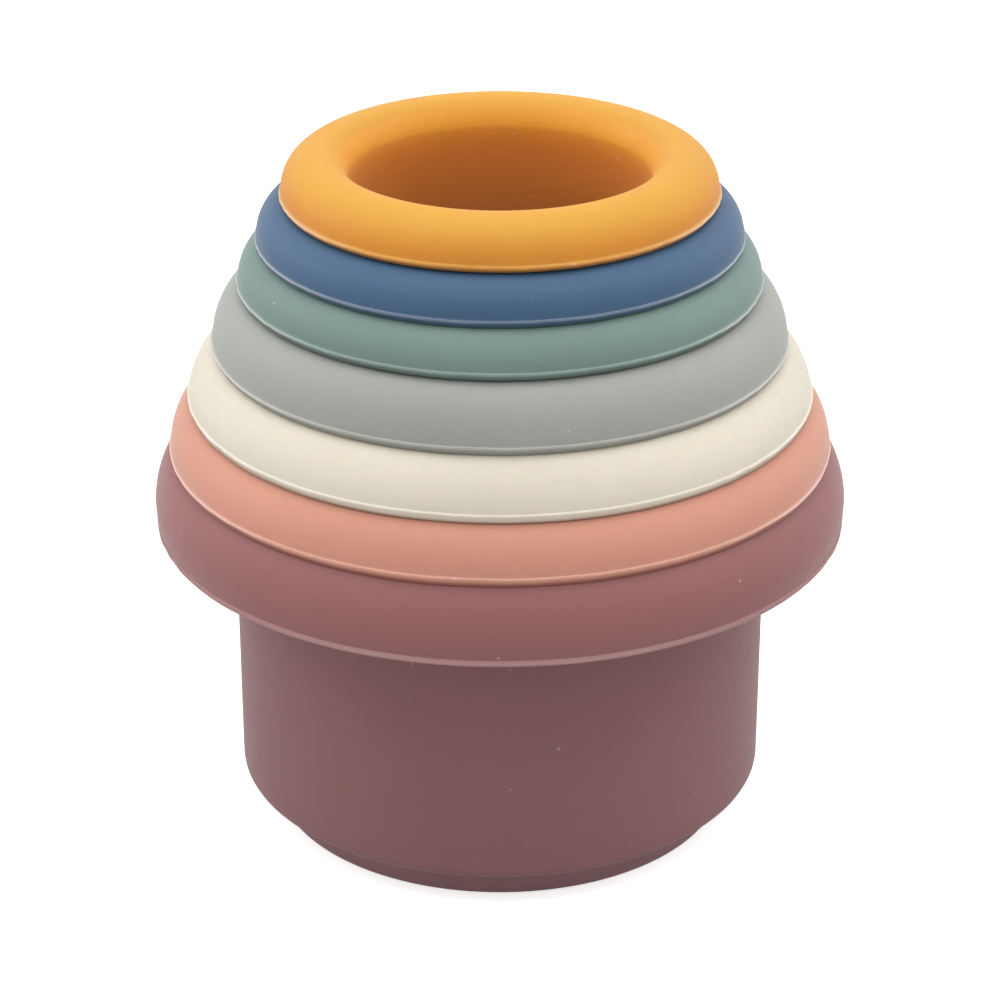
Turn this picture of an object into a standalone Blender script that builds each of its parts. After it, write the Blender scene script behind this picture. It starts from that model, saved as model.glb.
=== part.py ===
"""Seven round silicone stacking cups, nested in one another and standing on the foot of the largest.

Each cup is one moulding: a foot narrower than the body, a straight round body with a slight draft,
and a thick half-round rim with a thin lip round its lower outer edge. A groove under every rim but
the largest sits over the crest of the rim below, so the rims show as a tapering stack of rings.
Each foot is narrower than the mouth of the next smaller cup, so the cups also plug together as a
tower.

Lengths are in metres. +Z is up, and the origin is the centre of the largest cup's foot, on the
surface the nest stands on. Every cup is centred on the Z axis. Its own origin is the centre of the
underside of its foot, and its parent is the cup it sits in.
"""

import math
from typing import NamedTuple

import bmesh
import bpy

MM = 0.001

# Resolution of the turned solids
SEGMENTS = 36
OUTER_ARC_STEPS = 5
INNER_ARC_STEPS = 3
BODY_EDGE_STEPS = 2
MERGE_DISTANCE = 0.01 * MM
SHARP_ANGLE = math.radians(40)

# Body and foot, shared by all the cups
LARGEST_BODY_RADIUS = 34.9 * MM  # outside, level with the lip's underside
BODY_STEP = 2.3 * MM  # each body is this much smaller in radius than the one it nests in
WALL = 1.9 * MM
FLOOR = 2.0 * MM
DRAFT = math.radians(0.1)
FOOT_HEIGHT = 4.7 * MM
FOOT_CLEARANCE = 0.3 * MM  # radial, between a foot and the mouth of the next smaller cup
FOOT_BEVEL = 0.3 * MM
BODY_EDGE = 1.2 * MM  # radius between the body's side and its underside around the foot
LEDGE_BEVEL = 0.8 * MM  # inside, where the wall meets the ledge over that underside
UNDER_RIM_BEVEL = 0.8 * MM  # outside, where the body meets the rim

# Rim, shared by all the cups
LIP_OUT = 0.2 * MM  # how far the lip stands out from the rim just above it
LIP_BEVEL = 0.15 * MM  # along the lip's lower edge
LIP_SLOPE = 0.15 * MM  # height over which the lip's top slopes in to the rim
BULGE = 0.3 * MM  # how far an upright rim side swells above its lip
MID_BULGE = 0.75  # share of the bulge reached halfway up the upright side
CREST_INSET = 5.1 * MM  # from the lip's edge to the highest circle of the rim
INNER_ARC_RATIO = 1.25  # height over width of the arc from the crest down to the mouth
RIM_GAP = 0.3 * MM  # all round a rim's outer arc, to the groove of the cup that sits over it
SEAT_INSET = 0.4 * MM  # from a lip's edge to where the rim below passes RIM_GAP under its lip

ROUND = 2.0  # superellipse exponent of a true circle or ellipse


class Cup(NamedTuple):
    name: str
    colour: tuple
    power: float  # exponent of the rim's outer superellipse
    radius: float  # of the rim, at its lip
    rise: float  # from the lip's underside to the next lip's; for the smallest cup, to its crest
    lip_height: float
    upright: float  # straight part of the rim's side above the lip
    depth: float  # from the lip's underside down to the foot


# One row a cup, largest first, in the order of Cup's fields, with the lengths in millimetres
CUP_ROWS = (
    ("plum", (0.250, 0.110, 0.115), 1.70, 45.0, 9.8, 0.75, 2.3, 40.9),
    ("coral", (0.680, 0.330, 0.250), 1.80, 43.0, 7.1, 1.00, 0.0, 39.5),
    ("cream", (0.830, 0.770, 0.650), 1.50, 40.4, 7.4, 1.00, 0.0, 38.0),
    ("grey", (0.410, 0.420, 0.405), 1.75, 37.1, 8.1, 0.95, 0.0, 36.5),
    ("sage", (0.205, 0.290, 0.250), 1.70, 33.6, 5.7, 0.95, 0.0, 35.0),
    ("blue", (0.095, 0.170, 0.285), 1.85, 31.1, 5.8, 0.95, 0.0, 33.5),
    ("mustard", (0.850, 0.400, 0.090), 2.10, 27.9, 5.5, 0.75, 0.0, 32.0),
)
CUPS = [
    Cup(name, colour, power, *(length * MM for length in lengths))
    for name, colour, power, *lengths in CUP_ROWS
]


def quarter(power, steps):
    """(across, up) along a quarter superellipse, from (1, 0) to (0, 1)."""
    angles = [math.radians(90 * i / steps) for i in range(steps + 1)]
    # max() keeps rounding at 90 degrees from giving a negative base
    return [(max(math.cos(a), 0.0) ** (2 / power), math.sin(a) ** (2 / power)) for a in angles]


class Arc(NamedTuple):
    """A quarter superellipse in section: from (outer, low) round to (inner, high)."""

    inner: float
    outer: float
    low: float
    high: float
    power: float

    def points(self):
        width, rise = self.outer - self.inner, self.high - self.low
        return [
            (self.inner + width * across, self.low + rise * up)
            for across, up in quarter(self.power, OUTER_ARC_STEPS)
        ]

    def moved(self, up, grown=0.0):
        return self._replace(
            outer=self.outer + grown,
            low=self.low + up,
            high=self.high + up + grown,
        )


class Body(NamedTuple):
    """The drafted wall and the foot of one cup, with heights taken from the foot."""

    radius: float  # outside, at the height of depth
    depth: float

    def outside(self, z):
        return self.radius - (self.depth - z) * math.tan(DRAFT)

    def inside(self, z):
        return self.outside(z) - WALL

    @property
    def foot_radius(self):
        return self.radius - BODY_STEP - WALL - FOOT_CLEARANCE


def rim_arc(cup, next_cup):
    """The outer arc of a rim, its heights taken from the underside of the rim's lip. It is as
    high as it has to be to pass RIM_GAP under the lip of the next cup."""
    inner = cup.radius - CREST_INSET
    outer = cup.radius - LIP_OUT + (BULGE if cup.upright else 0.0)
    low = cup.lip_height + cup.upright
    high = cup.rise
    if next_cup:
        across = (next_cup.radius - SEAT_INSET - inner) / (outer - inner)
        share = (1 - across**cup.power) ** (1 / cup.power)
        high = low + (cup.rise - RIM_GAP - low) / share
    return Arc(inner, outer, low, high, cup.power)


# The parts of a cup's section, as (radius, height above the foot) points. They run from the centre
# of the foot's underside round the outside and back down the inside to the centre of the floor.


def foot_points(body):
    """The foot, the underside around it and the rounded edge up to the body's side."""
    foot = body.foot_radius
    side = body.outside(FOOT_HEIGHT + BODY_EDGE)
    points = [(0.0, 0.0), (foot - FOOT_BEVEL, 0.0), (foot, FOOT_BEVEL), (foot, FOOT_HEIGHT)]
    points += [
        (side - BODY_EDGE * (1 - out), FOOT_HEIGHT + BODY_EDGE * (1 - down))
        for down, out in quarter(ROUND, BODY_EDGE_STEPS)
    ]
    return points


def under_rim_points(body, ceiling):
    """The bevel at the top of the body's outside, up to the ceiling over it."""
    return [
        (body.outside(ceiling - UNDER_RIM_BEVEL), ceiling - UNDER_RIM_BEVEL),
        (body.outside(ceiling) + UNDER_RIM_BEVEL, ceiling),
    ]


def groove_points(seat, level):
    """The groove under a rim, from its ceiling outwards and down to where it meets the level of
    the lip's underside."""
    points = []
    for r, z in reversed(seat.points()):
        if z <= level:
            last_r, last_z = points[-1]
            points.append((last_r + (r - last_r) * (last_z - level) / (last_z - z), level))
            break
        points.append((r, z))
    return points


def rim_points(cup, arc):
    """The lip and the rim's outer side, up to the crest."""
    lip_top = cup.depth + cup.lip_height
    points = [
        (cup.radius - LIP_BEVEL, cup.depth),
        (cup.radius, cup.depth + LIP_BEVEL),
        (cup.radius, lip_top - LIP_SLOPE),
    ]
    if cup.upright:
        side = cup.radius - LIP_OUT
        points.append((side, lip_top))
        points.append((side + MID_BULGE * BULGE, lip_top + cup.upright / 2))
    return points + arc.points()


def inside_points(body, arc):
    """From just past the crest down to the mouth, the wall, the ledge and the floor."""
    drop = INNER_ARC_RATIO * (arc.inner - body.inside(arc.high))
    mouth = body.inside(arc.high - drop)
    points = [
        (arc.inner - (arc.inner - mouth) * across, arc.high - drop * (1 - up))
        for across, up in reversed(quarter(ROUND, INNER_ARC_STEPS)[:-1])
    ]
    ledge = FOOT_HEIGHT + WALL
    well = body.foot_radius - WALL
    points += [
        (body.inside(ledge + LEDGE_BEVEL), ledge + LEDGE_BEVEL),
        (body.inside(ledge) - LEDGE_BEVEL, ledge),
        (well, ledge),
        (well, FLOOR),
        (0.0, FLOOR),
    ]
    return points


def cup_profile(cup, body, arc, groove):
    """Half of the cup's section. arc is the rim's outer arc, and groove the arc its groove
    follows, or None; the heights of both are taken from the foot."""
    return [
        *foot_points(body),
        *under_rim_points(body, groove.high if groove else cup.depth),
        *(groove_points(groove, cup.depth) if groove else ()),
        *rim_points(cup, arc),
        *inside_points(body, arc),
    ]


def turned_mesh(name, points):
    """The profile spun once round the Z axis into one closed body."""
    bm = bmesh.new()
    verts = [bm.verts.new((r, 0.0, z)) for r, z in points]
    edges = [bm.edges.new(pair) for pair in zip(verts, verts[1:])]
    bmesh.ops.spin(
        bm,
        geom=verts + edges,
        cent=(0.0, 0.0, 0.0),
        axis=(0.0, 0.0, 1.0),
        angle=2 * math.pi,
        steps=SEGMENTS,
        use_merge=True,
    )
    # Joins the copies of the two end points, which lie on the axis
    bmesh.ops.remove_doubles(bm, verts=bm.verts, dist=MERGE_DISTANCE)
    bmesh.ops.recalc_face_normals(bm, faces=bm.faces)
    mesh = bpy.data.meshes.new(name)
    bm.to_mesh(mesh)
    bm.free()
    mesh.shade_smooth()
    mesh.set_sharp_from_angle(angle=SHARP_ANGLE)
    return mesh


def silicone(name, colour, roughness=0.6):
    material = bpy.data.materials.new(name)
    material.use_nodes = True
    shader = material.node_tree.nodes["Principled BSDF"]
    shader.inputs["Base Color"].default_value = (*colour, 1.0)
    shader.inputs["Roughness"].default_value = roughness
    shader.inputs["Metallic"].default_value = 0.0
    return material


def add_cup(cup, points, parent, height):
    """One cup, its foot at the given height above its parent's."""
    name = f"{cup.name}_cup"
    thing = bpy.data.objects.new(name, turned_mesh(name, points))
    thing.data.materials.append(silicone(f"{cup.name}_silicone", cup.colour))
    bpy.context.scene.collection.objects.link(thing)
    thing.location = (0.0, 0.0, height)
    thing.parent = parent
    return thing


def build_nest():
    holder = None  # the cup this one sits in
    holder_foot = 0.0
    seat = None  # the rim arc of that cup, with its heights taken from the ground
    lip = CUPS[0].depth  # height of the underside of this cup's lip
    for i, (cup, next_cup) in enumerate(zip(CUPS, [*CUPS[1:], None])):
        foot = lip - cup.depth
        body = Body(LARGEST_BODY_RADIUS - i * BODY_STEP, cup.depth)
        arc = rim_arc(cup, next_cup).moved(lip)
        groove = seat.moved(-foot, RIM_GAP) if seat else None
        points = cup_profile(cup, body, arc.moved(-foot), groove)
        holder = add_cup(cup, points, parent=holder, height=foot - holder_foot)
        holder_foot = foot
        seat = arc
        lip += cup.rise


for old in list(bpy.data.objects):
    bpy.data.objects.remove(old, do_unlink=True)
build_nest()
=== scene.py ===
"""Seven nested silicone stacking cups, turned about vertical axes and carried on one another's rims.

Each cup takes its place, rim radius and height from its box in the CAD frame. The cups stand
upright (+Z up) on a pale floor, largest outermost, and the camera looks at them from -Y.
"""

import math
from typing import NamedTuple

import bpy
import numpy as np
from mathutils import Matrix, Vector


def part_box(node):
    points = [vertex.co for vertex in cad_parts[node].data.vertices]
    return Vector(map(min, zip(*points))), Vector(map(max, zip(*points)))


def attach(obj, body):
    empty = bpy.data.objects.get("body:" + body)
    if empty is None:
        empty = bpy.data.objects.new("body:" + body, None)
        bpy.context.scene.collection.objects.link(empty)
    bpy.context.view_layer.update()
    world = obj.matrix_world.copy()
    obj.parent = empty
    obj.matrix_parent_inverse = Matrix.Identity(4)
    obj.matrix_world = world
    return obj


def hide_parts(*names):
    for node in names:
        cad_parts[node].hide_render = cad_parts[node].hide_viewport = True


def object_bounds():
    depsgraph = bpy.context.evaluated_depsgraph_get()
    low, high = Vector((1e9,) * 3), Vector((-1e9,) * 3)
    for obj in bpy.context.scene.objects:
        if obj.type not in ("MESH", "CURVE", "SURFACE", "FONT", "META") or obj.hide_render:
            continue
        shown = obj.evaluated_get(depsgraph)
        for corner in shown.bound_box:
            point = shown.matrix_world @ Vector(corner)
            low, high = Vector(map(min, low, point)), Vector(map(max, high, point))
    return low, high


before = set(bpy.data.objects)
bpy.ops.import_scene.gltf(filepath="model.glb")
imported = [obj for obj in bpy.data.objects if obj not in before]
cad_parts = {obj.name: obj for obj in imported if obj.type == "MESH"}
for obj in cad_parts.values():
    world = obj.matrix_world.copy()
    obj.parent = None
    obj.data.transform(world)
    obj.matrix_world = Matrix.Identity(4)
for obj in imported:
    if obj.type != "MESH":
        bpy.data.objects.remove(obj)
cad_lo, cad_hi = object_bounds()

MM = 0.001

# Sizes shared by all the cups
LARGEST_BODY_RADIUS = 34.9 * MM
BODY_STEP = 2.3 * MM        # how much narrower each body is than the last
WALL = 1.9 * MM
FLOOR = 2.0 * MM            # thickness of a cup's floor
SLOPE = math.tan(math.radians(0.1))
FOOT_HEIGHT = 4.7 * MM
FOOT_CLEARANCE = 0.3 * MM
LIP_OUT = 0.2 * MM          # how far the lip stands out from the side of the rim
BULGE = 0.3 * MM            # how far an upright rim side swells outwards
CREST_INSET = 5.1 * MM      # from the rim radius in to the crest
INNER_POWER = 2.35          # superellipse exponent inside the crest
INNER_ARC_RATIO = 1.25      # height of that inner arc as a share of its width
GROOVE_GAP = 0.28 * MM      # between a cup's groove and the rim it sits on
SHOULDER_DROP = 0.46 * MM   # how far a rim that carries another falls below the CAD at its crest

# Mesh resolution
SEGMENTS = 300
GROOVE_STEPS = 60
CREST_STEPS = 36
INNER_STEPS = 16
UPRIGHT_STEPS = 8
FILLET_STEP = math.radians(15)
CREST_GAP = 0.22 * MM       # least distance from the rim's side to the first crest point
LONGEST_RUN = 2.2 * MM

PLAIN = (1.0, 1.0, 1.0)


class PaintedLight(NamedTuple):
    """Factors on a cup's base colour in each part of it, which paint light and shade onto that part.
    """
    flank: tuple = PLAIN              # painted shade on the side of the rim, where it faces sideways
    body: tuple = PLAIN               # painted shade on the outside of the body
    # painted light and shade on the foot
    foot: tuple = PLAIN
    edge: tuple = (1.06, 1.08, 1.06)  # painted highlight on the round edge inside the crest
    # painted shade at the mouth, below the inner edge
    mouth: tuple = PLAIN
    deep: tuple = (0.90, 0.90, 0.95)  # painted shade deep inside


class Cup(NamedTuple):
    """One cup; its lengths are in mm."""
    name: str
    base: tuple           # base colour
    lip_height: float
    depth: float          # from the lip's underside to the foot
    power: float          # exponent of the rim's outer superellipse
    sag_top: float        # how far the soft lip falls below the CAD one at its top
    sag_edge: float       # and at its lower edge
    undercut: float       # how far that edge is set in
    edge_rise: float      # height the lip's top edge climbs to meet the rim's side
    lip_highlight: float       # strength of the painted highlight on the lip's top edge
    side_highlight: float  # strength of that painted highlight on the ridge seen edge on
    underside: tuple      # factors on the base colour for the painted shade under the lip
    shade_climb: float    # how far that shade climbs, from 0, the lower edge, to 1, all of it
    upright: float = 0.0  # height of the upright part of the rim's side
    # light and shade painted onto each part
    painted_light: PaintedLight = PaintedLight()


# Largest first
CUPS = (
    Cup("plum", (0.283, 0.112, 0.112), lip_height=0.75, depth=40.9, power=1.70,
        sag_top=0.10, sag_edge=0.12, undercut=0.00, edge_rise=0.03,
        lip_highlight=0.97, side_highlight=0.25, underside=(0.50, 0.45, 0.45), shade_climb=0.0,
        # painted shade darkens the plum's body, and a painted reflection of the floor pales its foot
        upright=2.3, painted_light=PaintedLight(body=(0.87, 0.985, 1.015), foot=(1.18, 1.62, 1.68))),
    Cup("coral", (0.600, 0.275, 0.193), lip_height=1.00, depth=39.5, power=1.80,
        sag_top=0.15, sag_edge=0.46, undercut=0.40, edge_rise=0.08,
        lip_highlight=0.38, side_highlight=1.0, underside=(0.38, 0.23, 0.23), shade_climb=0.85),
    Cup("cream", (0.680, 0.622, 0.514), lip_height=1.00, depth=38.0, power=1.50,
        sag_top=0.15, sag_edge=0.38, undercut=0.42, edge_rise=0.09,
        lip_highlight=0.28, side_highlight=0.9, underside=(0.50, 0.36, 0.31), shade_climb=0.5),
    Cup("grey", (0.333, 0.344, 0.314), lip_height=0.95, depth=36.5, power=1.75,
        sag_top=0.21, sag_edge=0.34, undercut=0.42, edge_rise=0.05,
        lip_highlight=0.38, side_highlight=0.9, underside=(0.60, 0.58, 0.52), shade_climb=0.75),
    Cup("sage", (0.166, 0.248, 0.224), lip_height=0.95, depth=35.0, power=1.70,
        sag_top=0.24, sag_edge=0.32, undercut=0.42, edge_rise=0.05,
        lip_highlight=0.38, side_highlight=0.9, underside=(0.50, 0.46, 0.44), shade_climb=0.72),
    Cup("blue", (0.050, 0.112, 0.204), lip_height=0.95, depth=33.5, power=1.85,
        sag_top=0.27, sag_edge=0.34, undercut=0.42, edge_rise=0.03,
        lip_highlight=0.50, side_highlight=0.9, underside=(0.52, 0.60, 0.36), shade_climb=0.72),
    Cup("mustard", (0.621, 0.304, 0.0315), lip_height=0.75, depth=32.0, power=2.10,
        sag_top=0.26, sag_edge=0.34, undercut=0.40, edge_rise=0.16,
        lip_highlight=0.09, side_highlight=0.8, underside=(0.50, 0.42, 1.10), shade_climb=0.75,
        # painted shade reddens the mustard's side, body and foot, a painted highlight brightens its
        # inner edge, and painted shade darkens its mouth and deep inside
        painted_light=PaintedLight(flank=(1.09, 0.86, 0.88), body=(1.05, 0.88, 0.92), foot=(1.05, 0.88, 0.92),
                    edge=(1.36, 1.25, 1.28), mouth=(1.05, 0.76, 1.22),
                    deep=(0.66, 0.545, 1.62))),
)


# ---------------------------------------------------------------- profile

# Columns of a profile point. Lip weights the painted highlight along the lip's upper edge (below 0,
# the painted shade on its underside) and the lip's smoother finish, sway is how far the unevenness
# of the moulded lip reaches, and inside grows from the crest down into the cup, where it places the
# painted highlight on the inner edge and the painted shade deeper in.
RADIUS, HEIGHT, LIP, SWAY, ZONE, INSIDE = range(6)
ON_RIM, ON_BODY, ON_FOOT = range(3)


def corner(radius, z, fillet=0, lip=0, sway=0, zone=ON_RIM, inside=0):
    return (radius, z, fillet, lip, sway, zone, inside)


def rounded(corners):
    """Profile points along a path of corners, each turned with its own fillet."""
    points = []
    for i, (radius, z, fillet, *marks) in enumerate(corners):
        here = Vector((radius, z))
        if fillet <= 0 or i in (0, len(corners) - 1):
            points.append((radius, z, *marks))
            continue
        back = Vector(corners[i - 1][:2]) - here
        ahead = Vector(corners[i + 1][:2]) - here
        back_length, ahead_length = back.length, ahead.length
        back.normalize()
        ahead.normalize()
        half = math.acos(max(-1.0, min(1.0, back.dot(ahead)))) / 2
        reach = min(fillet / math.tan(half), 0.49 * back_length, 0.49 * ahead_length)
        bend = reach * math.tan(half)
        centre = here + (back + ahead).normalized() * (bend / math.sin(half))
        first, last = here + back * reach, here + ahead * reach
        start = math.atan2(first.y - centre.y, first.x - centre.x)
        end = math.atan2(last.y - centre.y, last.x - centre.x)
        turn = (end - start + math.pi) % (2 * math.pi) - math.pi
        steps = max(2, int(abs(turn) / FILLET_STEP))
        for k in range(steps + 1):
            angle = start + turn * k / steps
            points.append((centre.x + bend * math.cos(angle),
                           centre.y + bend * math.sin(angle), *marks))
    return points


def filled(points, longest):
    """The same path with long straight runs cut into pieces no longer than longest."""
    path = [points[0]]
    for start, end in zip(points, points[1:]):
        pieces = max(1, int(math.ceil(math.dist(start[:2], end[:2]) / longest)))
        for k in range(1, pieces + 1):
            path.append(tuple(a + (b - a) * k / pieces for a, b in zip(start, end)))
    return path


def superellipse(power, steps):
    """A quarter of a unit superellipse, as (across, up) from (1, 0) round to (0, 1)."""
    points = []
    for i in range(steps + 1):
        angle = math.radians(90 * i / steps)
        points.append((max(math.cos(angle), 0.0) ** (2 / power), math.sin(angle) ** (2 / power)))
    return points


class Arc(NamedTuple):
    """The outer arc of a rim in section, from (outer, low) round to (inner, high)."""
    inner: float
    outer: float
    low: float
    high: float
    power: float

    def points(self, steps):
        width, rise = self.outer - self.inner, self.high - self.low
        return [(self.inner + width * across, self.low + rise * up)
                for across, up in superellipse(self.power, steps)]

    def moved(self, up, grown=0.0):
        return Arc(self.inner, self.outer + grown, self.low + up, self.high + up + grown,
                   self.power)

    def lowered(self, drop):
        """The same arc with a lower crest, filled out so that its side stays where it is."""
        fill = 2 * drop / (self.high - self.low)
        return Arc(self.inner, self.outer, self.low, self.high - drop, self.power + fill)


def seated_lip(cup, rim_radius, under, lip_top, seat):
    """The groove over the rim below, and the lip outside it.

    The groove runs out to a fairly sharp lower edge. Above it the lip is undercut, up to a thin
    ridge left by the parting line of the mould.
    """
    height = lip_top - under
    undercut = cup.undercut * MM
    corners = []
    for radius, z in reversed(seat.points(GROOVE_STEPS)):
        if z <= under or radius > rim_radius - undercut - 0.08 * MM:
            break
        corners.append(corner(radius, z))
    return corners + [
        # negative lip marks paint shade under the lip, positive ones paint the highlight on its
        # ridge
        corner(rim_radius - undercut, under, fillet=0.03 * MM, lip=-1.0, sway=0.4),
        corner(rim_radius - 0.17 * MM, under + 0.45 * height,
               fillet=0.30 * MM, lip=-cup.shade_climb, sway=0.7),
        corner(rim_radius - 0.13 * MM, lip_top - 0.36 * MM, fillet=0.06 * MM, lip=0.0, sway=0.9),
        corner(rim_radius + 0.01 * MM, lip_top - 0.28 * MM, fillet=0.07 * MM, lip=0.85, sway=1.0),
        corner(rim_radius, lip_top - 0.04 * MM, fillet=0.08 * MM, lip=1.0, sway=1.0),
    ]


def outermost_lip(rim_radius, under, lip_top):
    """The rounded lip of the largest cup, which sits on no other."""
    height = lip_top - under
    return [
        # lip marks paint the highlight along this rounded lip
        corner(rim_radius - 0.12 * MM, under, fillet=0.08 * MM, lip=0.6, sway=0.4),
        corner(rim_radius + 0.02 * MM, under + 0.38 * height, fillet=0.25 * MM, lip=1.0, sway=1.0),
        corner(rim_radius - 0.05 * MM, lip_top - 0.10 * MM, fillet=0.20 * MM, lip=0.7, sway=1.0),
    ]


def rim_side(cup, rim_radius, lip_top, arc):
    """From the lip's top edge up any upright side and round the outer arc to the crest."""
    bulge = BULGE if cup.upright else 0.0
    # the lip mark paints a faint highlight where the top edge meets the rim's side
    corners = [corner(arc.outer - bulge + 0.01 * MM, lip_top + cup.edge_rise * MM,
                      fillet=0.08 * MM, lip=0.25, sway=0.5)]
    if cup.upright:
        rise = cup.upright * MM + cup.sag_top * MM
        for k in range(1, UPRIGHT_STEPS + 1):
            share = k / UPRIGHT_STEPS
            corners.append(corner(rim_radius - LIP_OUT + BULGE * (1 - (1 - share) ** 2),
                                  lip_top + rise * share))
    below = corners[-1][:2]
    for radius, z in arc.points(CREST_STEPS):
        if math.dist((radius, z), below) > CREST_GAP and z > below[1]:
            corners.append(corner(radius, z))
    return corners


def cup_profile(cup, rim_radius, body_radius, arc, seat):
    """Points of half of a cup's section, z from the underside of its foot.

    arc is the rim's outer arc and seat the arc its groove follows, None for the largest cup.
    """
    depth = cup.depth * MM
    lip_top = depth + cup.lip_height * MM - cup.sag_top * MM
    under = depth - cup.sag_edge * MM

    def outside(z):
        return body_radius - (depth - z) * SLOPE

    foot = body_radius - BODY_STEP - WALL - FOOT_CLEARANCE
    ceiling = seat.high if seat else depth
    corners = [
        corner(0.0, 0.0, zone=ON_FOOT),
        corner(foot, 0.0, fillet=0.35 * MM, zone=ON_FOOT),
        corner(foot, FOOT_HEIGHT, fillet=0.3 * MM, zone=ON_FOOT),
        corner(outside(FOOT_HEIGHT), FOOT_HEIGHT, fillet=1.2 * MM, zone=ON_BODY),
        corner(outside(ceiling), ceiling, fillet=0.8 * MM, zone=ON_BODY),
    ]
    if seat:
        corners += seated_lip(cup, rim_radius, under, lip_top, seat)
    else:
        corners += outermost_lip(rim_radius, under, lip_top)
    corners += rim_side(cup, rim_radius, lip_top, arc)

    # From the crest down into the mouth
    drop = INNER_ARC_RATIO * (arc.inner - outside(arc.high) + WALL)
    mouth = outside(arc.high - drop) - WALL
    for across, up in list(reversed(superellipse(INNER_POWER, INNER_STEPS)))[1:]:
        corners.append(corner(arc.inner - (arc.inner - mouth) * across,
                              arc.high - drop * (1 - up), inside=across**3))

    # The inner wall, the ledge above the foot, and the well inside the foot
    ledge = FOOT_HEIGHT + WALL
    well = foot - WALL
    corners += [
        corner(outside(ledge) - WALL, ledge, fillet=1.4 * MM, inside=2),
        corner(well, ledge, fillet=0.7 * MM, inside=2),
        corner(well, FLOOR, fillet=1.2 * MM, inside=2),
        corner(0.0, FLOOR, inside=2),
    ]
    return filled(rounded(corners), LONGEST_RUN)


# ---------------------------------------------------------------- mesh

def wobble(rng, angles, waves, size):
    """A smooth closed curve of small offsets round the cup."""
    out = np.zeros_like(angles)
    for k in waves:
        out += (rng.normal() / math.sqrt(len(waves))
                * np.cos(k * angles + rng.uniform(0, 2 * math.pi)))
    return out * size


def lip_unevenness(angles, seed):
    """Offsets (outwards, upwards) round a moulded lip: waves, fine ripples and three nicks."""
    rng = np.random.default_rng(seed)
    coarse = wobble(rng, angles, waves=range(3, 12), size=0.035 * MM)
    fine = wobble(rng, angles, waves=range(20, 74), size=0.030 * MM)
    fine = np.clip(fine, -0.07 * MM, 0.07 * MM)
    nicks = np.zeros_like(angles)
    for _ in range(3):
        centre = rng.uniform(0, 2 * math.pi)
        reach = rng.uniform(0.010, 0.018)
        gap = (angles - centre + math.pi) % (2 * math.pi) - math.pi
        nicks -= rng.uniform(0.08, 0.16) * MM * np.exp(-(gap / reach) ** 2)
    lift = wobble(rng, angles, waves=range(5, 30), size=0.025 * MM)
    return coarse + fine + nicks, lift


def turned_faces(rows):
    """Quads between neighbouring rings, then a fan at each end of the profile."""
    here = np.arange(SEGMENTS)
    beside = (here + 1) % SEGMENTS
    faces = []
    for k in range(rows - 1):
        low, high = k * SEGMENTS, (k + 1) * SEGMENTS
        faces += np.stack([low + here, low + beside, high + beside, high + here], 1).tolist()
    bottom, top = rows * SEGMENTS, rows * SEGMENTS + 1
    last = (rows - 1) * SEGMENTS
    faces += [(bottom, int(b), int(a)) for a, b in zip(here, beside)]
    faces += [(top, int(last + a), int(last + b)) for a, b in zip(here, beside)]
    return faces


def turned_cup(name, points, foot_z, seed):
    """The profile turned into one closed mesh, with the slight unevenness of a moulded lip."""
    profile = np.array(points)
    rings = profile[1:-1]
    angles = np.linspace(0, 2 * math.pi, SEGMENTS, endpoint=False)
    outwards, upwards = lip_unevenness(angles, seed)
    sway = rings[:, SWAY][:, None]
    radii = rings[:, RADIUS][:, None] + sway * outwards[None, :]
    heights = (rings[:, HEIGHT] + foot_z)[:, None] + sway * upwards[None, :]
    places = np.stack([radii * np.cos(angles), radii * np.sin(angles), heights], -1).reshape(-1, 3)
    places = np.vstack([places, (0, 0, profile[0, HEIGHT] + foot_z),
                        (0, 0, profile[-1, HEIGHT] + foot_z)])

    mesh = bpy.data.meshes.new(name)
    mesh.from_pydata(places.tolist(), [], turned_faces(len(rings)))
    for key, column in (("lip", LIP), ("zone", ZONE), ("inside", INSIDE)):
        values = profile[:, column]
        values = np.concatenate([np.repeat(values[1:-1], SEGMENTS), [values[0], values[-1]]])
        attribute = mesh.attributes.new(key, "FLOAT", "POINT")
        attribute.data.foreach_set("value", values.astype(np.float32))
    mesh.validate()
    mesh.shade_smooth()
    mesh.update()
    piece = bpy.data.objects.new(name, mesh)
    bpy.context.scene.collection.objects.link(piece)
    return piece


# ---------------------------------------------------------------- material

class Nodes:
    """Adds and links shader nodes; any input may be a value or another node's socket."""

    def __init__(self, tree):
        self.tree = tree

    def fill(self, node, inputs):
        for key, value in inputs.items():
            if isinstance(value, bpy.types.NodeSocket):
                self.tree.links.new(value, node.inputs[key])
            else:
                node.inputs[key].default_value = value

    def add(self, kind, inputs=None, **settings):
        node = self.tree.nodes.new(kind)
        for key, value in settings.items():
            setattr(node, key, value)
        self.fill(node, inputs or {})
        return node

    def maths(self, operation, a, b=0.0, clamp=False):
        return self.add("ShaderNodeMath", {0: a, 1: b}, operation=operation,
                        use_clamp=clamp).outputs[0]

    def span(self, value, across, to=(0.0, 1.0)):
        """value mapped from the range across to the range to, and held within it."""
        return self.add("ShaderNodeMapRange", {
            "Value": value, "From Min": across[0], "From Max": across[1],
            "To Min": to[0], "To Max": to[1]}).outputs["Result"]

    def noise(self, at, scale, detail=2.0, rough=0.5):
        return self.add("ShaderNodeTexNoise", {"Vector": at, "Scale": scale, "Detail": detail,
                                               "Roughness": rough}).outputs["Fac"]

    def attribute(self, name):
        return self.add("ShaderNodeAttribute", attribute_name=name).outputs["Fac"]

    def mix(self, factor, a, b):
        return self.add("ShaderNodeMix", {0: factor, 6: a, 7: b}, data_type="RGBA").outputs[2]


def tinted(base, factors):
    return (*(min(1.0, b * f) for b, f in zip(base, factors)), 1.0)


def paler(base, kept, added):
    """A share of the base colour with white or near-white added."""
    return (*(min(1.0, kept * b + a) for b, a in zip(base, added)), 1.0)


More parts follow.
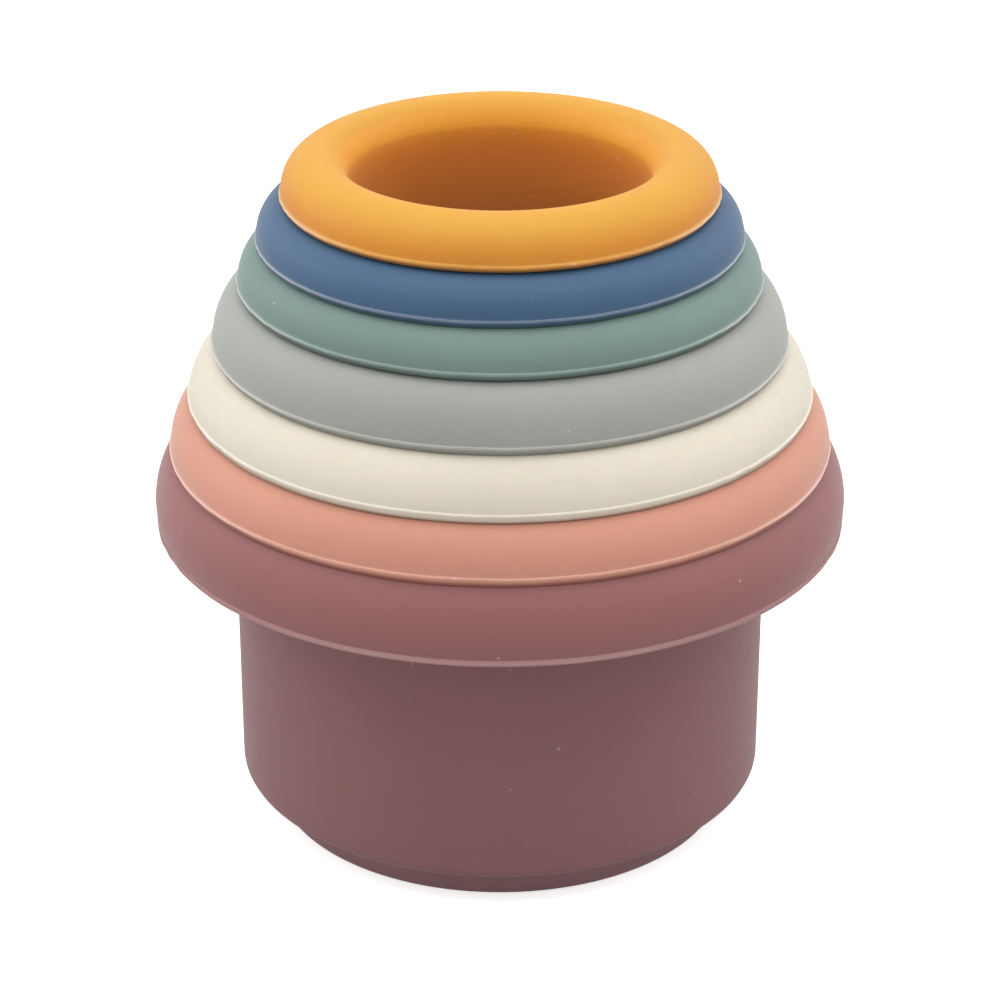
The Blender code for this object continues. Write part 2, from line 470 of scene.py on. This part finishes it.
def zone_painted_light(nodes, cup):
    """The base colour with light and shade painted onto each part of the cup."""
    flank, body, foot, edge, mouth, deep = (tinted(cup.base, part) for part in cup.painted_light)
    zone = nodes.attribute("zone")
    inside = nodes.attribute("inside")
    normal = nodes.add("ShaderNodeNewGeometry").outputs["Normal"]
    level = nodes.add("ShaderNodeSeparateXYZ", {0: normal}).outputs[2]
    # Painted shade: the rim's flank colour where the surface faces sideways, the plain base colour
    # where it faces up
    colour = nodes.mix(nodes.span(level, (0.15, 0.85), to=(1.0, 0.0)), (*cup.base, 1.0), flank)
    # Painted light and shade on the body and on the foot
    colour = nodes.mix(nodes.span(zone, (ON_RIM, ON_BODY)), colour, body)
    colour = nodes.mix(nodes.span(zone, (ON_BODY, ON_FOOT)), colour, foot)
    # Painted highlight on the round edge inside the crest, then painted shade at the mouth and deep
    # inside
    edge_glow = nodes.maths("MULTIPLY", nodes.span(inside, (0.15, 0.8)),
                          nodes.span(inside, (0.93, 1.08), to=(1.0, 0.0)))
    colour = nodes.mix(edge_glow, colour, edge)
    colour = nodes.mix(nodes.span(inside, (0.93, 1.08)), colour, mouth)
    return nodes.mix(nodes.span(inside, (1.05, 1.6)), colour, deep)


def mottled(nodes, colour, cloud, grain):
    """Faint changes of brightness, broad and fine."""
    tone = nodes.maths("ADD", nodes.span(cloud, (0.3, 0.7), to=(-0.030, 0.030)),
                       nodes.span(grain, (0.3, 0.7), to=(-0.018, 0.018)))
    return nodes.add("ShaderNodeHueSaturation", {
        "Hue": 0.5, "Saturation": 1.0, "Value": nodes.maths("ADD", tone, 1.0), "Fac": 1.0,
        "Color": colour}).outputs[0]


def lip_coloured(nodes, cup, colour, lip_mark, lip):
    """Painted shade on the lip's underside and a painted highlight on its top edge."""
    edge_on = nodes.add("ShaderNodeLayerWeight", {"Blend": 0.5}).outputs["Facing"]
    # Painted shade on the underside: weaker where it faces the viewer, as if light off the ground
    # reached it there, and full at the sides
    shade = nodes.maths("POWER", nodes.span(lip_mark, (-1.0, 0.0), to=(1.0, 0.0)),
                        nodes.span(edge_on, (0.3, 0.55), to=(3.5, 1.0)))
    colour = nodes.mix(shade, colour, tinted(cup.base, cup.underside))
    # Painted highlight on the ridge: paler (or, with a low side value, duller) where it is seen edge
    # on
    amount = nodes.span(edge_on, (0.12, 0.6), to=(cup.lip_highlight, cup.side_highlight))
    pale = paler(cup.base, kept=0.85, added=(0.165, 0.1425, 0.135))
    if cup.side_highlight > cup.lip_highlight:
        palest = paler(cup.base, kept=0.70, added=(0.37, 0.34, 0.33))
        pale = nodes.mix(nodes.span(edge_on, (0.2, 0.6)), pale, palest)
    return nodes.mix(nodes.maths("MULTIPLY", lip, amount, clamp=True), colour, pale)


def dust_mask(nodes, at, number):
    """Spots where the surface passes through the centre of a chosen cell."""

    def cells(where, scale):
        texture = nodes.add("ShaderNodeTexVoronoi", {"Vector": where, "Scale": scale,
                                                     "Randomness": 1.0})
        draws = nodes.add("ShaderNodeSeparateColor", {"Color": texture.outputs["Color"]})
        return texture.outputs["Distance"], draws.outputs

    def spots(distance, fade, draw, above):
        return nodes.maths("MULTIPLY", nodes.span(distance, fade, to=(1.0, 0.0)),
                           nodes.maths("GREATER_THAN", draw, above))

    distance, draws = cells(at, scale=260.0)
    specks = spots(distance, fade=(0.018, 0.034), draw=draws[0], above=0.40)
    wide = spots(distance, fade=(0.030, 0.080), draw=draws[2], above=0.70)
    dust = nodes.maths("MAXIMUM", specks, nodes.maths("MULTIPLY", wide, 0.8))

    stretched = nodes.add("ShaderNodeMapping", {
        "Vector": at, "Rotation": (0.5 + number, 0.8, 0.3 * number),
        "Scale": (1.0, 1.0, 0.16)}).outputs[0]
    distance, draws = cells(stretched, scale=210.0)
    threads = spots(distance, fade=(0.010, 0.020), draw=draws[1], above=0.80)
    return nodes.maths("MAXIMUM", dust, threads)


def roughness(nodes, cloud, grain, lip, dust):
    """Mottled like the colour, smoother on the lip and rougher under dust."""
    rough = nodes.maths("ADD", nodes.span(cloud, (0.3, 0.7), to=(-0.03, 0.03)),
                        nodes.span(grain, (0.3, 0.7), to=(0.52, 0.62)))
    rough = nodes.maths("SUBTRACT", rough, nodes.maths("MULTIPLY", lip, 0.22))
    return nodes.maths("ADD", rough, nodes.maths("MULTIPLY", dust, 0.2), clamp=True)


def bumped_normal(nodes, at):
    """A soft ripple with a satin grain over it."""
    ripple = nodes.add("ShaderNodeBump", {
        "Strength": 0.5, "Distance": 0.00012,
        "Height": nodes.noise(at, scale=120.0)}).outputs[0]
    return nodes.add("ShaderNodeBump", {
        "Strength": 0.4, "Distance": 0.00003,
        "Height": nodes.noise(at, scale=3200.0, rough=0.6), "Normal": ripple}).outputs[0]


def silicone(cup, number):
    """Matte moulded silicone: painted light and shade by part, faint mottling, a painted highlight
    on the lip's edge and painted shade under it, a few specks of dust and a fine bump.
    """
    material = bpy.data.materials.new(cup.name + "_silicone")
    material.use_nodes = True
    nodes = Nodes(material.node_tree)
    coords = nodes.add("ShaderNodeTexCoord").outputs["Object"]
    # Each cup takes its textures from a different place
    shift = (0.31 * number, 0.17 * number, 0.23 * number)
    at = nodes.add("ShaderNodeVectorMath", {0: coords, 1: shift}, operation="ADD").outputs[0]

    colour = zone_painted_light(nodes, cup)
    cloud = nodes.noise(at, scale=38.0, detail=3.0)
    grain = nodes.noise(at, scale=620.0, detail=3.0, rough=0.6)
    colour = mottled(nodes, colour, cloud, grain)
    lip_mark = nodes.attribute("lip")
    lip = nodes.maths("MAXIMUM", lip_mark, 0.0)
    colour = lip_coloured(nodes, cup, colour, lip_mark, lip)
    dust = dust_mask(nodes, at, number)
    dusty = paler(cup.base, kept=0.55, added=(0.36, 0.36, 0.36))
    colour = nodes.mix(nodes.maths("MULTIPLY", dust, 0.55), colour, dusty)

    # The fine bloom on the surface is white, but takes the colour of a strong yellow
    _, green, blue = cup.base
    bloom = PLAIN if blue > 0.1 else (1.0, 0.45 + 0.55 * green, 0.45 + 0.55 * blue)
    nodes.fill(material.node_tree.nodes["Principled BSDF"], {
        "Base Color": colour,
        "Roughness": roughness(nodes, cloud, grain, lip, dust),
        "Normal": bumped_normal(nodes, at),
        "Subsurface Weight": 0.18,
        "Subsurface Radius": (1.0, 0.6, 0.45),
        "Subsurface Scale": 0.0016,
        "Specular IOR Level": nodes.span(lip, (0.0, 1.0), to=(0.32, 0.55)),
        "Sheen Weight": 0.23,
        "Sheen Roughness": 0.38,
        "Sheen Tint": (*bloom, 1.0),
    })
    return material


# ---------------------------------------------------------------- the cups

FIRST_SEED = 11


def build_cup(i, cup, carrier):
    """Builds one cup on the rim arc of its carrier and returns its own rim arc (world heights)."""
    node = cup.name + "_cup"
    lo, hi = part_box(node)
    rim_radius = (hi.x - lo.x) / 2 - (BULGE - LIP_OUT if cup.upright else 0.0)
    arc = Arc(inner=rim_radius - CREST_INSET,
              outer=rim_radius - LIP_OUT + (BULGE if cup.upright else 0.0),
              low=lo.z + cup.depth * MM + cup.lip_height * MM + cup.upright * MM,
              high=hi.z, power=cup.power)
    shoulder_drop = SHOULDER_DROP if i + 1 < len(CUPS) else 0.0
    points = cup_profile(cup, rim_radius, LARGEST_BODY_RADIUS - i * BODY_STEP,
                         arc=arc.lowered(shoulder_drop).moved(-lo.z),
                         seat=carrier.moved(-lo.z, GROOVE_GAP) if carrier else None)
    piece = turned_cup(cup.name + "_silicone_cup", points, lo.z, FIRST_SEED + i)
    piece.data.materials.append(silicone(cup, i + 1))
    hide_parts(node)
    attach(piece, node)
    return arc


rim_arc = None
for i, cup in enumerate(CUPS):
    rim_arc = build_cup(i, cup, carrier=rim_arc)


# ---------------------------------------------------------------- floor, light and camera

FLOOR_RADIUS = 6.0
FLOOR_GAP = 0.05 * MM             # the floor lies this far below the cups
WHITE = (1.0, 1.0, 1.0, 1.0)

LENS = 117.0                      # mm, on a sensor 36 mm wide
PITCH = math.radians(25.26)       # how steeply the camera looks down
AIM_HEIGHT = 0.462                # in heights of the stack
CAMERA_DISTANCE = 4.747           # in heights of the stack

span = cad_hi - cad_lo
middle = (cad_hi + cad_lo) / 2


def floor_paper():
    """A lit-from-below sweep, as in a product studio, which keeps the shadow on it faint."""
    paper = bpy.data.materials.new("floor_paper")
    paper.use_nodes = True
    nodes = Nodes(paper.node_tree)
    where = nodes.add("ShaderNodeTexCoord").outputs["Object"]
    tone = nodes.span(nodes.noise(where, scale=90.0, detail=4.0), (0.3, 0.7), to=(0.885, 0.895))
    white = nodes.add("ShaderNodeCombineColor", {0: tone, 1: tone, 2: tone}).outputs[0]
    seen = nodes.add("ShaderNodeLightPath").outputs["Is Camera Ray"]
    bounce = (0.57, 0.57, 0.57, 1.0)
    nodes.fill(paper.node_tree.nodes["Principled BSDF"], {
        "Base Color": nodes.mix(seen, bounce, white),
        "Roughness": 0.9,
        "Specular IOR Level": 0.1,
        "Emission Color": WHITE,
        "Emission Strength": nodes.maths("MULTIPLY", seen, 0.62),
    })
    return paper


def build_floor():
    bpy.ops.mesh.primitive_circle_add(vertices=128, radius=FLOOR_RADIUS, fill_type="NGON",
                                      location=(middle.x, middle.y, cad_lo.z - FLOOR_GAP))
    floor = bpy.context.object
    floor.name = "floor"
    floor.data.materials.append(floor_paper())


def build_world():
    """A white studio all round, brighter above and at the sides, dimmer low on the camera's side.

    The camera itself sees plain white.
    """
    side_gain, top_gain, ambient = 0.22, 0.45, 0.70
    front_loss, loss_fade_upwards = 0.50, 0.75
    world = bpy.data.worlds.new("studio")
    bpy.context.scene.world = world
    world.use_nodes = True
    world.node_tree.nodes.clear()
    nodes = Nodes(world.node_tree)
    direction = nodes.add("ShaderNodeTexCoord").outputs["Generated"]
    x, y, z = nodes.add("ShaderNodeSeparateXYZ", {0: direction}).outputs
    front = nodes.span(nodes.maths("MULTIPLY", y, -1.0), (0.1, 0.95))
    up = nodes.span(z, (0.0, 1.0))
    side = nodes.maths("ABSOLUTE", x)
    level = nodes.maths("ADD", nodes.maths("MULTIPLY", side, side_gain),
                        nodes.maths("MULTIPLY", up, top_gain))
    level = nodes.maths("ADD", level, ambient)
    low = nodes.maths("SUBTRACT", 1.0, nodes.maths("MULTIPLY", up, loss_fade_upwards))
    loss = nodes.maths("MULTIPLY", nodes.maths("MULTIPLY", front, low), front_loss)
    level = nodes.maths("SUBTRACT", level, loss)
    studio = nodes.add("ShaderNodeBackground", {"Color": WHITE, "Strength": level})
    plain = nodes.add("ShaderNodeBackground", {"Color": WHITE, "Strength": 1.0})
    seen = nodes.add("ShaderNodeLightPath").outputs["Is Camera Ray"]
    both = nodes.add("ShaderNodeMixShader", {0: seen, 1: studio.outputs[0], 2: plain.outputs[0]})
    nodes.add("ShaderNodeOutputWorld", {"Surface": both.outputs[0]})


def aim(thing, target):
    thing.rotation_mode = "QUATERNION"
    thing.rotation_quaternion = target.to_track_quat("-Z", "Y")


def softbox(name, place, size, watts):
    """A rectangular lamp aimed at the middle of the stack."""
    lamp = bpy.data.lights.new(name, "AREA")
    lamp.shape = "RECTANGLE"
    lamp.size, lamp.size_y = size
    lamp.energy = watts
    thing = bpy.data.objects.new(name, lamp)
    bpy.context.scene.collection.objects.link(thing)
    thing.location = place
    aim(thing, middle - Vector(place))
    thing.visible_camera = False


def build_camera():
    target = Vector((middle.x, middle.y, cad_lo.z + AIM_HEIGHT * span.z))
    distance = CAMERA_DISTANCE * span.z
    lens = bpy.data.cameras.new("camera")
    lens.sensor_width = 36.0
    lens.lens = LENS
    lens.clip_start, lens.clip_end = 0.01, 50.0
    camera = bpy.data.objects.new("camera", lens)
    bpy.context.scene.collection.objects.link(camera)
    camera.location = target + Vector((0.0, -math.cos(PITCH), math.sin(PITCH))) * distance
    aim(camera, target - camera.location)
    bpy.context.scene.camera = camera


build_floor()
build_world()
softbox("softbox_top", place=(middle.x, middle.y - 0.18, cad_hi.z + 0.85),
        size=(1.2, 0.9), watts=4.35)
softbox("softbox_left", place=(middle.x - 0.9, middle.y + 0.22, middle.z + 0.42),
        size=(0.4, 0.6), watts=1.8)
softbox("softbox_right", place=(middle.x + 0.9, middle.y + 0.22, middle.z + 0.42),
        size=(0.4, 0.6), watts=1.3)
build_camera()

view = bpy.context.scene.view_settings
view.view_transform = "Standard"
view.look = "None"
view.exposure = 0.0
view.gamma = 1.0
